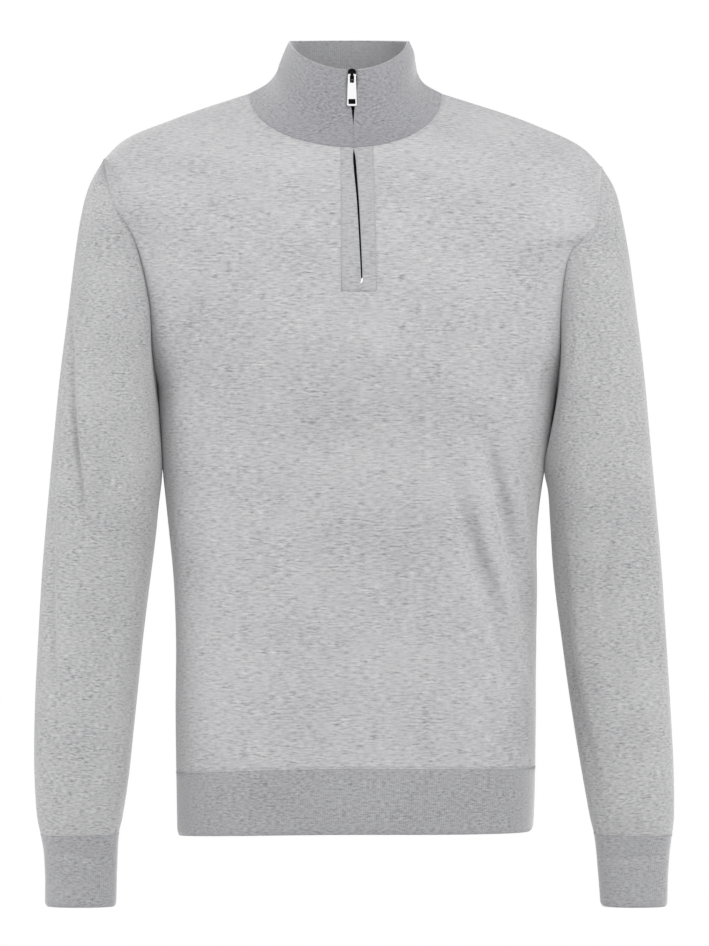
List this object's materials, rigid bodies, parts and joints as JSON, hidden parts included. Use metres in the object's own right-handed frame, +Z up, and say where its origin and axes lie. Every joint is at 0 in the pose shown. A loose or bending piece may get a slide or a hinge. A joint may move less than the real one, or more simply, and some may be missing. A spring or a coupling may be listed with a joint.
{
  "type": "half-zip sweater",
  "caption": "Fine-knit sweater with a stand-up rib collar, a half-length front zip, long sleeves, rib cuffs and a rib hem, filled out as if worn.",
  "frame": {"origin": "middle of the neck opening, level with the two shoulder points of the neck seam, where the garment hangs on its wearer", "axes": "+Z up, -Y the front, -X the wearer's right side"},
  "size_m": [0.5726, 0.2301, 0.78],
  "materials": {
    "knit": "fine single jersey in light grey marl wool",
    "rib": "fine rib in the same yarn, darker because it is denser",
    "zip_tape": "woven black tape",
    "zip_black": "black enamelled zinc and teeth",
    "zip_steel": "polished steel"
  },
  "bodies": {
    "garment": {"front": "knit", "back": "knit", "sleeve_right": "knit", "sleeve_left": "knit", "placket_right": "knit", "placket_left": "knit", "collar": "rib", "hem_rib": "rib", "cuff_right": "rib", "cuff_left": "rib", "zip_tape_right": "zip_tape", "zip_tape_left": "zip_tape", "zip_chain": "zip_black", "zip_slider": "zip_black", "zip_stop": "zip_steel"},
    "pull": {"zip_pull": "zip_steel"}
  },
  "joints": [
    {"name": "pull_hinge", "type": "hinge", "parent": "garment", "child": "pull", "pos_m": [0, -0.07481, 0.0129], "axis": [-1, 0, 0], "range_deg": [0, 150]}
  ]
}
